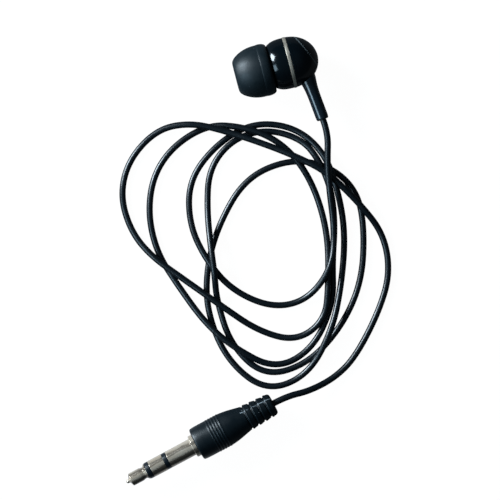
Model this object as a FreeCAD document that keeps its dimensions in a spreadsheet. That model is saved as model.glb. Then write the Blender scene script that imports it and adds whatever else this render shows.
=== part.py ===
# One in-ear earphone on a thin round cord that ends in a moulded 3.5 mm plug.
# Millimetres, +Z up. The table is z = 0, and +X runs from the sound outlet of
# the earphone to its back. The origin is on the table under the earphone.
import FreeCAD, Part
import math
import os
import re
import Sketcher

Vector = FreeCAD.Vector
doc = FreeCAD.newDocument("Earphone")

# Driving dimensions. "at" values lie on a piece's own axis: on the earphone
# they are measured from the front face of the trim ring, towards the back.
# On the plug they are measured from the nib of its pin, towards the cord.
sizes = {
    # earphone shell
    "front_reach": 10.8,
    "rear_reach": 6.15,
    "shell_radius": 5.12,
    "ring_proud": 0.08,
    "ring_width": 0.65,
    "lip_wall": 0.62,
    "spigot_wall": 0.4,
    "spigot_depth": 0.8,
    "shell_wall": 0.8,
    "neck_at": -3.5,
    "neck_drop": 0.92,
    "neck_edge": 0.3,
    "neck_seat": 0.1,
    "shoulder_height": 0.2,
    "front_curve_at": -1.0,
    "dome_break": 4.6,
    "dome_drop": 1.62,
    "cap_seam_at": 4.54,
    "cap_tilt": 24.4,
    "cap_gap": 0.1,
    "nozzle_length": 4.5,
    "nozzle_radius": 2.2,
    "nozzle_bore": 1.5,
    "barb_radius": 2.6,
    "barb_width": 0.7,
    "barb_slope": 0.4,
    "mesh_radius": 1.85,
    "mesh_thickness": 0.2,
    "mesh_hole": 0.22,
    "mesh_play": 0.05,
    "mesh_lip": 0.1,
    "mesh_ring": 1.11,
    # ear tip
    "tip_radius": 5.27,
    "tip_gap": 0.25,
    "tip_fit": 0.1,
    "tip_wall": 0.65,
    "tip_stem_wall": 0.5,
    "tip_mouth_radius": 2.9,
    "tip_outlet_radius": 1.9,
    "tip_shoulder_radius": 4.4,
    "tip_shoulder_drop": 1.4,
    "tip_mouth_arc": 1.8,
    "tip_shoulder_arc": 9.0,
    "tip_band_at": -5.5,
    "tip_step": 0.06,
    "tip_band_width": 0.9,
    "tip_rim_at": -3.5,
    "tip_rim_radius": 4.5,
    "tip_rim_arc": 2.5,
    "tip_rim_slope": 0.4,
    "tip_lining_arc": 4.0,
    "tip_fold_back": 2.6,
    "tip_fold_front": 1.6,
    "tip_fold_drop": 0.2,
    "tip_fold_arc": 2.0,
    # driver
    "driver_seat_at": -2.5,
    "gasket_thickness": 0.3,
    "cover_thickness": 0.25,
    "driver_gap": 0.1,
    "seat_width": 0.7,
    "edge_ring_thickness": 0.3,
    "frame_wall": 0.3,
    "frame_depth": 2.25,
    "frame_floor": 0.35,
    "yoke_radius": 2.8,
    "yoke_wall": 0.3,
    "yoke_front": -0.95,
    "yoke_back": 0.9,
    "magnet_radius": 2.0,
    "plate_thickness": 0.5,
    "plate_inset": 0.1,
    "coil_gap": 0.17,
    "coil_wall": 0.16,
    "coil_length": 1.0,
    "diaphragm_at": -1.43,
    "diaphragm_thickness": 0.12,
    "surround_width": 0.5,
    "surround_gap": 0.05,
    "cover_hole": 0.45,
    "vent_hole": 0.2,
    "board_radius": 1.9,
    "board_thickness": 0.4,
    "solder_radius": 0.35,
    "solder_height": 0.35,
    "solder_offset": 0.95,
    "damper_thickness": 0.15,
    "damper_gap": 0.1,
    # strain relief of the earphone, measured along its own axis
    "stem_at": 2.6,
    "stem_lean": 6.0,
    "stem_inner": 2.9,
    "stem_end": 12.8,
    "stem_root_radius": 1.43,
    "stem_tip_radius": 1.22,
    "stem_edge": 0.2,
    "stem_clearance": 0.05,
    "knot_at": 1.2,
    "knot_ring": 0.75,
    "knot_strand": 0.5,
    # cord
    "cord_radius": 0.65,
    "cord_clearance": 0.05,
    "wire_radius": 0.12,
    "wire_gap": 0.05,
    "lead_run": 0.9,
    "lead_aside": 0.25,
    "plug_wire_run": 1.2,
    "first_run": 3.0,
    # plug
    "plug_end_x": -17.6,
    "plug_end_y": -65.25,
    "plug_turn": 13.6,
    "pin_radius": 1.75,
    "pin_length": 15.05,
    "nib_radius": 0.4,
    "nib_length": 0.55,
    "nib_flare": 0.1,
    "nib_flare_length": 0.15,
    "shoulder_at": 1.1,
    "shoulder_edge": 0.15,
    "tip_barrel_radius": 1.34,
    "tip_barrel_end": 3.3,
    "waist_at": 4.1,
    "waist_radius": 1.12,
    "flange_at": 4.65,
    "flange_radius": 1.65,
    "flange_width": 0.12,
    "flange_slope": 0.06,
    "band_slope": 0.2,
    "band_drop": 0.02,
    "first_band_end": 5.65,
    "second_band_at": 8.7,
    "second_band_end": 9.6,
    "core_rod_radius": 0.5,
    "layer_wall": 0.3,
    "layer_step": 0.3,
    "collar_radius": 2.3,
    "collar_width": 0.9,
    "collar_edge": 0.1,
    "sleeve_tail": 0.35,
    "body_front_radius": 3.25,
    "body_radius": 3.45,
    "body_bulge": 1.1,
    "body_front_arc": 4.0,
    "body_straight": 6.9,
    "body_rear_arc": 14.0,
    "body_length": 11.35,
    "body_rear_radius": 2.6,
    "grip_at": 3.7,
    "grip_pitch": 0.6,
    "grip_width": 0.25,
    "grip_height": 0.07,
    "grip_slope": 0.06,
    "relief_pitch": 1.5,
    "relief_groove": 0.5,
    "relief_depth": 0.4,
    "relief_front_radius": 2.65,
    "relief_taper": 0.09,
    "relief_edge": 0.5,
    "relief_tail": 0.2,
    "core_radius": 2.6,
    "core_rear_radius": 2.2,
    "core_length": 8.8,
    "core_wall": 0.6,
    "core_fit": 0.02,
    "tag_length": 1.2,
    "tag_width": 0.6,
    "tag_thickness": 0.2,
    "bead_radius": 0.25,
    "bead_length": 0.4,
    "wire_entry": 23.4,
}

GRIP_COUNT = 5
RELIEF_COUNT = 4
MESH_HOLES = 6
COVER_HOLES = 6
VENT_COUNT = 6

# The share of a straight run that the arc at each of its ends may take up.
CORNER_SHARE = 0.45

# Side and height offsets of the three plug wires where they meet the cord.
WIRE_FAN = [(-0.1, 0.3), (0.25, -0.15), (-0.25, -0.15)]

# Lengths and places that follow from the driving dimensions.
derived = {
    "ring_x": "(front_reach - rear_reach) / 2",
    "axis_z": "tip_radius",
    "ring_radius": "shell_radius + ring_proud",
    "spigot_radius": "shell_radius - lip_wall",
    "cavity_radius": "spigot_radius - spigot_wall",
    "neck_radius": "shell_radius - neck_drop",
    "dome_break_radius": "shell_radius - dome_drop",
    "driver_radius": "cavity_radius - driver_gap",
    "seat_radius": "driver_radius - seat_width",
    "diaphragm_radius": "driver_radius - frame_wall - surround_width",
    "front_dome_length": "front_curve_at - neck_at",
    "front_arc": "(front_dome_length ^ 2 + neck_drop ^ 2) / (2 * neck_drop)",
    "dome_run": "dome_break - ring_width",
    "dome_arc": "(dome_run ^ 2 + dome_drop ^ 2) / (2 * dome_drop)",
    "pole_run": "rear_reach - dome_break",
    "pole_arc": "(pole_run ^ 2 + dome_break_radius ^ 2) / (2 * pole_run)",
    "inner_break_radius": "dome_break_radius - shell_wall",
    "inner_drop": "cavity_radius - inner_break_radius",
    "inner_break": "dome_break - shell_wall / 2",
    "inner_run": "inner_break - ring_width",
    "inner_arc": "(inner_run ^ 2 + inner_drop ^ 2) / (2 * inner_drop)",
    "inner_pole": "rear_reach - shell_wall",
    "inner_pole_run": "inner_pole - inner_break",
    "inner_pole_arc": "(inner_pole_run ^ 2 + inner_break_radius ^ 2) / (2 * inner_pole_run)",
    "shoulder_seat": "neck_at - shoulder_height",
    "nozzle_front": "shoulder_seat - nozzle_length",
    "mesh_seat": "nozzle_front + mesh_lip + mesh_thickness",
    "tip_rear": "shoulder_seat - tip_gap",
    "tip_bore": "barb_radius + tip_fit",
    "tip_stem_radius": "tip_bore + tip_stem_wall",
    "tip_seat": "nozzle_front - tip_gap",
    "tip_front": "0 - front_reach",
    "cover_at": "driver_seat_at + gasket_thickness",
    "edge_ring_at": "cover_at + cover_thickness",
    "frame_at": "edge_ring_at + edge_ring_thickness",
    "frame_back": "frame_at + frame_depth",
    "plate_front": "yoke_front + plate_inset",
    "magnet_front": "plate_front + plate_thickness",
    "yoke_floor": "yoke_back - frame_floor",
    "coil_inner": "magnet_radius + coil_gap",
    "coil_front": "diaphragm_at + diaphragm_thickness",
    "board_back": "yoke_back + board_thickness",
    "solder_back": "board_back + solder_height",
    "stem_bore": "cord_radius + cord_clearance",
    "knot_outer": "knot_at + knot_strand",
    "nib_arc": "(nib_length ^ 2 + nib_radius ^ 2) / (2 * nib_length)",
    "collar_back": "pin_length + collar_width",
    "body_back": "collar_back + body_length",
    "relief_length": f"{RELIEF_COUNT} * relief_pitch + relief_tail",
    "plug_length": "body_back + relief_length",
    "rod_back": "collar_back + 4 * layer_step + sleeve_tail",
    "first_layer": "core_rod_radius + layer_wall",
    "second_layer": "first_layer + layer_wall",
    "third_layer": "second_layer + layer_wall",
    "core_back": "collar_back + core_length",
    "plug_z": "body_radius + grip_height",
}

sheet = doc.addObject("Spreadsheet::Sheet", "Sizes")
for row, (name, value) in enumerate(sizes.items(), start=1):
    sheet.set("A" + str(row), name)
    sheet.set("B" + str(row), str(value))
    sheet.setAlias("B" + str(row), name)
doc.recompute()


def spell(text):
    """Points each dimension in an expression at its spreadsheet cell."""
    def swap(match):
        word = match.group(0)
        if word in derived:
            return "(" + spell(derived[word]) + ")"
        if word in sizes:
            return "Sizes." + word
        return word
    return re.sub(r"[a-z_]+", swap, str(text))


def amount(text):
    """The value of an expression, as a plain number."""
    return float(sheet.evalExpression(spell(text)))


# ---- placements: an x, y, z and a turn about Z, each an expression ----

EARPHONE = ("ring_x", "0", "axis_z", "0")
STEM = ("ring_x + stem_at", "0", "axis_z", "stem_lean - 90")
PLUG = (
    "plug_end_x - plug_length * cos(plug_turn)",
    "plug_end_y - plug_length * sin(plug_turn)",
    "plug_z",
    "plug_turn",
)


def place(piece, spot):
    across, along, height, turn = spot
    piece.setExpression("Placement.Base.x", spell(across))
    piece.setExpression("Placement.Base.y", spell(along))
    piece.setExpression("Placement.Base.z", spell(height))
    piece.setExpression("Placement.Rotation.Angle", spell(turn))


def origin_feature(body, role):
    return [item for item in body.Origin.OriginFeatures if item.Role == role][0]


def arc_between(start, end, radius):
    """An arc from start to end that bulges to the left of the way there."""
    middle = (start + end) * 0.5
    chord = end - start
    side = Vector(-chord.y, chord.x, 0)
    side.normalize()
    rise = abs(radius) - math.sqrt(max(radius ** 2 - (chord.Length / 2) ** 2, 0))
    return Part.Arc(start, middle + side * math.copysign(rise, radius), end)


def turned(name, outline, spot):
    """A body turned about its own X axis.

    Each corner of the outline is (at, radius), or (at, radius, arc) where an
    arc of that radius leads to the next corner; "- arc" bulges to the right.
    """
    body = doc.addObject("PartDesign::Body", name)
    body.Label = name
    sketch = body.newObject("Sketcher::SketchObject", name + "_outline")
    sketch.AttachmentSupport = (origin_feature(body, "XZ_Plane"), [""])
    sketch.MapMode = "FlatFace"
    corners = [Vector(amount(corner[0]), amount(corner[1]), 0) for corner in outline]
    count = len(corners)
    first_ends = []
    for index, corner in enumerate(outline):
        start = corners[index]
        end = corners[(index + 1) % count]
        if len(corner) == 3:
            sketch.addGeometry(arc_between(start, end, amount(corner[2])), False)
        else:
            sketch.addGeometry(Part.LineSegment(start, end), False)
        forwards = sketch.getPoint(index, 1).distanceToPoint(start) < 1e-6
        first_ends.append(1 if forwards else 2)
    for index, corner in enumerate(outline):
        before = (index - 1) % count
        last_end = 3 - first_ends[before]
        here = first_ends[index]
        sketch.addConstraint(Sketcher.Constraint("Coincident", before, last_end, index, here))
        hold_corner(sketch, index, here, corner)
        if len(corner) == 3:
            reach = abs(amount(corner[2]))
            datum = sketch.addConstraint(Sketcher.Constraint("Radius", index, reach))
            sketch.setExpression(f"Constraints[{datum}]", f"abs({spell(corner[2])})")
    spin = body.newObject("PartDesign::Revolution", name + "_turn")
    spin.Profile = sketch
    spin.ReferenceAxis = (sketch, ["H_Axis"])
    spin.Angle = 360
    place(body, spot)
    return body


def hold_corner(sketch, index, end, corner):
    """Binds one corner of an outline to its two expressions."""
    at = sketch.addConstraint(
        Sketcher.Constraint("DistanceX", -1, 1, index, end, amount(corner[0])))
    sketch.setExpression(f"Constraints[{at}]", spell(corner[0]))
    if str(corner[1]) == "0":
        sketch.addConstraint(Sketcher.Constraint("PointOnObject", index, end, -1))
        return
    out = sketch.addConstraint(
        Sketcher.Constraint("DistanceY", -1, 1, index, end, amount(corner[1])))
    sketch.setExpression(f"Constraints[{out}]", spell(corner[1]))


def tube(name, front, back, inner, outer, spot):
    """A plain ring or tube; an inner radius of "0" makes it a rod."""
    outline = [(front, inner), (front, outer), (back, outer), (back, inner)]
    return turned(name, outline, spot)


def ring_of_holes(body, count, circle_radius, hole_radius):
    """Cuts a ring of holes along the X axis of a turned body."""
    doc.recompute()
    volume = body.Shape.Volume
    sketch = body.newObject("Sketcher::SketchObject", body.Name + "_hole")
    sketch.AttachmentSupport = (origin_feature(body, "YZ_Plane"), [""])
    sketch.MapMode = "FlatFace"
    centre = Vector(amount(circle_radius), 0, 0)
    circle = Part.Circle(centre, Vector(0, 0, 1), amount(hole_radius))
    sketch.addGeometry(circle, False)
    across = sketch.addConstraint(
        Sketcher.Constraint("DistanceX", -1, 1, 0, 3, centre.x))
    sketch.setExpression(f"Constraints[{across}]", spell(circle_radius))
    sketch.addConstraint(Sketcher.Constraint("PointOnObject", 0, 3, -1))
    reach = sketch.addConstraint(Sketcher.Constraint("Radius", 0, amount(hole_radius)))
    sketch.setExpression(f"Constraints[{reach}]", spell(hole_radius))
    pocket = body.newObject("PartDesign::Pocket", body.Name + "_pocket")
    pocket.Profile = sketch
    pocket.Type = 1
    pocket.Midplane = True
    pattern = body.newObject("PartDesign::PolarPattern", body.Name + "_ring")
    pattern.Originals = [pocket]
    pattern.Axis = (origin_feature(body, "X_Axis"), [""])
    pattern.Angle = 360
    pattern.Occurrences = count
    body.Tip = pattern
    doc.recompute()
    hole = math.pi * amount(hole_radius) ** 2
    assert volume - body.Shape.Volume > 0.1 * hole * count, body.Label + " has no holes"


# ---- earphone shell ----

def shell_front():
    outline = [
        ("nozzle_front", "mesh_radius + mesh_play"),
        ("nozzle_front", "nozzle_radius"),
        ("nozzle_front + barb_slope", "barb_radius"),
        ("nozzle_front + barb_slope + barb_width", "barb_radius"),
        ("nozzle_front + 2 * barb_slope + barb_width", "nozzle_radius"),
        ("shoulder_seat", "nozzle_radius"),
        ("shoulder_seat", "neck_radius - neck_edge"),
        ("neck_at", "neck_radius", "front_arc"),
        ("front_curve_at", "shell_radius"),
        ("0", "shell_radius"),
        ("0", "spigot_radius"),
        ("0 - spigot_depth", "spigot_radius"),
        ("0 - spigot_depth", "cavity_radius"),
        ("driver_seat_at", "cavity_radius"),
        ("driver_seat_at", "seat_radius"),
        ("neck_at + neck_seat", "nozzle_bore"),
        ("mesh_seat", "nozzle_bore"),
        ("mesh_seat", "mesh_radius + mesh_play"),
    ]
    return turned("front_housing", outline, EARPHONE)


def shell_rear():
    """The back shell, parted by a slanted seam into a housing and a cap."""
    outline = [
        ("0 - spigot_depth", "cavity_radius"),
        ("0 - spigot_depth", "spigot_radius"),
        ("ring_width", "spigot_radius"),
        ("ring_width", "shell_radius", "dome_arc"),
        ("dome_break", "dome_break_radius", "pole_arc"),
        ("rear_reach", "0"),
        ("inner_pole", "0", "0 - inner_pole_arc"),
        ("inner_break", "inner_break_radius", "0 - inner_arc"),
        ("ring_width", "cavity_radius"),
    ]
    dome = turned("rear_shell", outline, EARPHONE)
    dome_copy = turned("rear_shell_copy", outline, EARPHONE)
    behind_seam = seam_block("seam_block", "0")
    behind_gap = seam_block("gap_block", "cap_gap")
    stem_hole = tube("stem_hole", "0", "2 * shell_radius", "0",
                     "stem_root_radius + stem_clearance", STEM)
    body = doc.addObject("Part::Cut", "rear_housing_shell")
    body.Base = dome
    body.Tool = behind_seam
    housing = doc.addObject("Part::Cut", "rear_housing")
    housing.Base = body
    housing.Tool = stem_hole
    housing.Label = "rear_housing"
    cap = doc.addObject("Part::Common", "rear_cap")
    cap.Base = dome_copy
    cap.Tool = behind_gap
    cap.Label = "rear_cap"
    return [housing, cap]


def seam_block(name, gap):
    """A block that holds all that lies behind the slanted seam."""
    block = doc.addObject("Part::Box", name)
    for side in ("Length", "Width", "Height"):
        block.setExpression(side, spell("4 * shell_radius"))
    at = "ring_x + cap_seam_at + 2 * shell_radius * sin(cap_tilt) + " + gap
    along = "0 - 2 * shell_radius * cos(cap_tilt)"
    place(block, (at, along, "axis_z - 2 * shell_radius", "cap_tilt"))
    return block


def shell_pieces():
    trim = tube("trim_ring", "0", "ring_width", "spigot_radius", "ring_radius", EARPHONE)
    mesh = tube("nozzle_mesh", "nozzle_front + mesh_lip", "mesh_seat", "0", "mesh_radius", EARPHONE)
    ring_of_holes(mesh, MESH_HOLES, "mesh_ring", "mesh_hole")
    return [shell_front()] + shell_rear() + [trim, mesh]


# ---- ear tip: a soft dome folded back over its own stem ----

def ear_tip():
    outline = [
        ("tip_front", "tip_outlet_radius"),
        ("tip_front", "tip_mouth_radius", "tip_mouth_arc"),
        ("tip_front + tip_shoulder_drop", "tip_shoulder_radius", "tip_shoulder_arc"),
        ("tip_band_at", "tip_radius - tip_step"),
        ("tip_band_at + tip_step", "tip_radius"),
        ("tip_band_at + tip_band_width", "tip_radius - tip_step", "tip_rim_arc"),
        ("tip_rim_at", "tip_rim_radius"),
        ("tip_rim_at - tip_rim_slope", "tip_rim_radius", "0 - tip_lining_arc"),
        ("tip_band_at", "tip_radius - tip_step - tip_wall"),
        ("tip_front + tip_fold_back", "tip_shoulder_radius - tip_fold_drop", "0 - tip_fold_arc"),
        ("tip_front + tip_fold_front", "tip_stem_radius"),
        ("tip_rear", "tip_stem_radius"),
        ("tip_rear", "tip_bore"),
        ("tip_seat", "tip_bore"),
        ("tip_seat", "tip_outlet_radius"),
    ]
    return turned("ear_tip", outline, EARPHONE)


# ---- driver: the small loudspeaker inside ----

def driver_pieces():
    gasket = tube("driver_gasket", "driver_seat_at", "cover_at",
                  "seat_radius", "driver_radius", EARPHONE)
    cover = tube("driver_cover", "cover_at", "edge_ring_at", "0", "driver_radius", EARPHONE)
    ring_of_holes(cover, COVER_HOLES, "driver_radius / 2", "cover_hole")
    edge_ring = tube("diaphragm_ring", "edge_ring_at", "frame_at",
                     "driver_radius - frame_wall", "driver_radius", EARPHONE)
    surround = tube("diaphragm_surround", "diaphragm_at", "coil_front",
                    "diaphragm_radius + surround_gap",
                    "driver_radius - frame_wall - surround_gap / 2", EARPHONE)
    frame_outline = [
        ("frame_at", "driver_radius - frame_wall"),
        ("frame_at", "driver_radius"),
        ("frame_back", "driver_radius"),
        ("frame_back", "yoke_radius"),
        ("frame_back - frame_floor", "yoke_radius"),
        ("frame_back - frame_floor", "driver_radius - frame_wall"),
    ]
    basket = turned("driver_frame", frame_outline, EARPHONE)
    ring_of_holes(basket, VENT_COUNT, "(yoke_radius + driver_radius - vent_hole) / 2", "vent_hole")
    yoke_outline = [
        ("yoke_front", "yoke_radius - yoke_wall"),
        ("yoke_front", "yoke_radius"),
        ("yoke_back", "yoke_radius"),
        ("yoke_back", "0"),
        ("yoke_floor", "0"),
        ("yoke_floor", "yoke_radius - yoke_wall"),
    ]
    yoke = turned("driver_yoke", yoke_outline, EARPHONE)
    magnet = tube("driver_magnet", "magnet_front", "yoke_floor", "0", "magnet_radius", EARPHONE)
    plate = tube("pole_plate", "plate_front", "magnet_front", "0", "magnet_radius", EARPHONE)
    damper = tube("vent_damper", "frame_back", "frame_back + damper_thickness",
                  "yoke_radius + damper_gap", "driver_radius - damper_gap", EARPHONE)
    board = tube("terminal_board", "yoke_back", "board_back", "0", "board_radius", EARPHONE)
    return [gasket, cover, edge_ring, surround, basket, yoke, magnet, plate, damper, board]


def moving_coil():
    coil = tube("voice_coil", "coil_front", "coil_front + coil_length",
                "coil_inner", "coil_inner + coil_wall", EARPHONE)
    cone = tube("diaphragm", "diaphragm_at", "coil_front", "0", "diaphragm_radius", EARPHONE)
    return [coil, cone]


def solder_joints():
    """Two domes of solder on the terminal board."""
    joints = []
    for side in ("", "0 - "):
        dome = doc.addObject("Part::Cylinder", "solder_dome")
        dome.setExpression("Radius", spell("solder_radius"))
        dome.setExpression("Height", spell("solder_height"))
        dome.Placement.Rotation = FreeCAD.Rotation(Vector(0, 1, 0), 90)
        dome.setExpression("Placement.Base.x", spell("ring_x + board_back"))
        dome.setExpression("Placement.Base.z", spell("axis_z + " + side + "solder_offset"))
        joints.append(dome)
    group = doc.addObject("Part::Compound", "solder_joints")
    group.Links = joints
    group.Label = "solder_joints"
    return group


# ---- strain relief, cord tail and knot, along the stem's own axis ----

def stem_pieces():
    outline = [
        ("stem_inner", "stem_bore"),
        ("stem_inner", "stem_root_radius"),
        ("stem_end - stem_edge", "stem_tip_radius", "stem_edge"),
        ("stem_end", "stem_tip_radius - stem_edge"),
        ("stem_end", "stem_bore"),
    ]
    relief = turned("strain_relief", outline, STEM)
    tail = tube("cord_tail", "knot_outer", "stem_end", "0", "cord_radius", STEM)
    knot = doc.addObject("Part::Torus", "cord_knot")
    knot.setExpression("Radius1", spell("knot_ring"))
    knot.setExpression("Radius2", spell("knot_strand"))
    lean = amount("stem_lean")
    along = Vector(math.sin(math.radians(lean)), -math.cos(math.radians(lean)), 0)
    knot.Placement.Rotation = FreeCAD.Rotation(Vector(0, 0, 1), along)
    knot.setExpression(
        "Placement.Base.x", spell("ring_x + stem_at + knot_at * sin(stem_lean)"))
    knot.setExpression("Placement.Base.y", spell("0 - knot_at * cos(stem_lean)"))
    knot.setExpression("Placement.Base.z", spell("axis_z"))
    knot.Label = "cord_knot"
    return [relief, tail, knot]


# ---- plug ----

def pin_pieces():
    """The pin is three contacts and two bands, each a tube inside the next."""
    tip = turned("plug_tip", [
        ("0", "0", "nib_arc"),
        ("nib_length", "nib_radius"),
        ("nib_length + nib_flare_length", "nib_radius + nib_flare"),
        ("shoulder_at - shoulder_edge", "tip_barrel_radius - shoulder_edge", "shoulder_edge"),
        ("shoulder_at", "tip_barrel_radius"),
        ("tip_barrel_end", "tip_barrel_radius"),
        ("waist_at", "waist_radius"),
        ("flange_at - flange_width", "flange_radius - flange_slope"),
        ("flange_at", "flange_radius"),
        ("flange_at", "core_rod_radius"),
        ("rod_back", "core_rod_radius"),
        ("rod_back", "0"),
    ], PLUG)
    first_band = turned("tip_insulator", [
        ("flange_at", "core_rod_radius"),
        ("flange_at", "flange_radius"),
        ("flange_at + band_slope", "pin_radius - band_drop"),
        ("first_band_end", "pin_radius - band_drop"),
        ("first_band_end", "first_layer"),
        ("rod_back - layer_step", "first_layer"),
        ("rod_back - layer_step", "core_rod_radius"),
    ], PLUG)
    ring = turned("plug_ring", [
        ("first_band_end", "first_layer"),
        ("first_band_end", "pin_radius"),
        ("second_band_at", "pin_radius"),
        ("second_band_at", "second_layer"),
        ("rod_back - 2 * layer_step", "second_layer"),
        ("rod_back - 2 * layer_step", "first_layer"),
    ], PLUG)
    second_band = turned("ring_insulator", [
        ("second_band_at", "second_layer"),
        ("second_band_at", "pin_radius - band_drop"),
        ("second_band_end", "pin_radius - band_drop"),
        ("second_band_end", "third_layer"),
        ("rod_back - 3 * layer_step", "third_layer"),
        ("rod_back - 3 * layer_step", "second_layer"),
    ], PLUG)
    sleeve = turned("plug_sleeve", [
        ("second_band_end", "third_layer"),
        ("second_band_end", "pin_radius"),
        ("pin_length", "pin_radius"),
        ("pin_length", "collar_radius - collar_edge"),
        ("pin_length + collar_edge", "collar_radius"),
        ("collar_back", "collar_radius"),
        ("collar_back", "core_radius - core_wall"),
        ("collar_back + sleeve_tail", "core_radius - core_wall"),
        ("collar_back + sleeve_tail", "third_layer"),
    ], PLUG)
    return [tip, first_band, ring, second_band, sleeve]


def grip_corners():
    """Fine raised ridges round the body, for the fingers."""
    corners = []
    for index in range(GRIP_COUNT):
        start = f"collar_back + grip_at + {index} * grip_pitch"
        corners.append((start, "body_radius"))
        corners.append((start + " + grip_slope", "body_radius + grip_height"))
        corners.append((start + " + grip_width", "body_radius + grip_height"))
        corners.append((start + " + grip_width + grip_slope", "body_radius"))
    return corners


def relief_corners():
    """Flexible ribs with grooves between them, a little smaller each time."""
    corners = []
    for index in range(RELIEF_COUNT):
        start = f"body_back + {index} * relief_pitch"
        radius = f"relief_front_radius - {index} * relief_taper"
        corners.append((start, radius + " - relief_depth"))
        corners.append((start + " + relief_groove", radius + " - relief_depth"))
        corners.append((start + " + relief_groove", radius))
        if index < RELIEF_COUNT - 1:
            corners.append((start + " + relief_pitch", radius))
    return corners


def plug_shell():
    last_radius = f"relief_front_radius - {RELIEF_COUNT} * relief_taper"
    outline = [
        ("collar_back", "core_radius"),
        ("collar_back", "body_front_radius", "body_front_arc"),
        ("collar_back + body_bulge", "body_radius"),
    ]
    outline += grip_corners()
    outline += [
        ("collar_back + body_straight", "body_radius", "body_rear_arc"),
        ("body_back", "body_rear_radius"),
    ]
    outline += relief_corners()
    outline += [
        ("plug_length - relief_edge", last_radius, "relief_edge"),
        ("plug_length", last_radius + " - relief_edge"),
        ("plug_length", "stem_bore"),
        ("core_back", "stem_bore"),
        ("core_back", "core_rear_radius"),
    ]
    return turned("plug_body", outline, PLUG)


def plug_inside():
    core = turned("plug_core", [
        ("collar_back", "core_radius - core_wall + core_fit"),
        ("collar_back", "core_radius"),
        ("core_back", "core_rear_radius"),
        ("core_back", "stem_bore"),
        ("core_back - core_wall", "stem_bore"),
        ("core_back - core_wall", "core_rear_radius - core_wall"),
    ], PLUG)
    cord_end = tube("plug_cord_end", "wire_entry", "plug_length", "0", "cord_radius", PLUG)
    return [core, cord_end]


def tag_spots():
    """Where the three solder tags start: place on the axis, and side offset."""
    return [
        ("rod_back", "0"),
        ("rod_back - 2 * layer_step", "(first_layer + second_layer) / 2"),
        ("collar_back + sleeve_tail", "0 - third_layer - layer_wall / 2"),
    ]


def plug_tags():
    """Three solder tags behind the contacts, with a bead of solder on each."""
    tags = []
    beads = []
    for index, (start, offset) in enumerate(tag_spots()):
        tag = doc.addObject("Part::Box", "tag_" + str(index))
        tag.setExpression("Length", spell("tag_length"))
        tag.setExpression("Width", spell("tag_thickness"))
        tag.setExpression("Height", spell("tag_width"))
        put_on_plug(tag, start, offset + " - tag_thickness / 2", "0 - tag_width / 2")
        tags.append(tag)
        bead_end = start + " + tag_length + bead_length"
        bead = tube("bead_" + str(index), "0", "bead_length", "0", "bead_radius", PLUG)
        put_on_plug(bead, bead_end + " - bead_length", offset, "0")
        beads.append(bead)
    tag_group = doc.addObject("Part::Compound", "plug_tags")
    tag_group.Links = tags
    tag_group.Label = "plug_tags"
    bead_group = doc.addObject("Part::Compound", "plug_solder")
    bead_group.Links = beads
    bead_group.Label = "plug_solder"
    return [tag_group, bead_group]


def put_on_plug(piece, at, offset, height):
    """Places a piece by its distances along, beside and above the plug's axis."""
    along = f"({at}) - plug_length"
    across = (f"plug_end_x + ({along}) * cos(plug_turn) - ({offset}) * sin(plug_turn)")
    aside = (f"plug_end_y + ({along}) * sin(plug_turn) + ({offset}) * cos(plug_turn)")
    place(piece, (across, aside, f"plug_z + ({height})", "plug_turn"))


# ---- tubes along a path: the cord and the thin wires ----

def rounded_path(points):
    """Straight runs joined by tangent arcs, as large as their runs allow."""
    edges = []
    radii = []
    cursor = points[0]
    for before, corner, after in zip(points, points[1:], points[2:]):
        run_in = corner - before
        run_out = after - corner
        turn = run_in.getAngle(run_out)
        trim = CORNER_SHARE * min(run_in.Length, run_out.Length)
        radii.append(trim / math.tan(turn / 2))
        run_in.normalize()
        run_out.normalize()
        arc_start = corner - run_in * trim
        arc_end = corner + run_out * trim
        inward = run_out - run_in
        inward.normalize()
        sagitta = radii[-1] / math.cos(turn / 2) - radii[-1]
        edges.append(Part.LineSegment(cursor, arc_start).toShape())
        edges.append(Part.Arc(arc_start, corner + inward * sagitta, arc_end).toShape())
        cursor = arc_end
    edges.append(Part.LineSegment(cursor, points[-1]).toShape())
    return Part.Wire(edges), radii


def swept(points, radius):
    """A round tube along a rounded path."""
    path, radii = rounded_path(points)
    heading = points[1] - points[0]
    section = Part.Wire([Part.Circle(points[0], heading, radius).toShape()])
    solid = path.makePipeShell([section], True, False)
    expected = math.pi * radius ** 2 * path.Length
    assert abs(solid.Volume / expected - 1) < 0.01, "a swept tube lost its section"
    return solid, radii, path.Length


def on_stem(distance):
    """The point at a distance along the stem's axis."""
    lean = math.radians(amount("stem_lean"))
    return Vector(
        amount("ring_x + stem_at") + distance * math.sin(lean),
        -distance * math.cos(lean),
        amount("axis_z"),
    )


def on_plug(at, offset=0.0, height=0.0):
    """The point at a place along the plug's axis, with its side offset."""
    turn = math.radians(amount("plug_turn"))
    along = at - amount("plug_length")
    return Vector(
        amount("plug_end_x") + along * math.cos(turn) - offset * math.sin(turn),
        amount("plug_end_y") + along * math.sin(turn) + offset * math.cos(turn),
        amount("plug_z") + height,
    )


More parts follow.
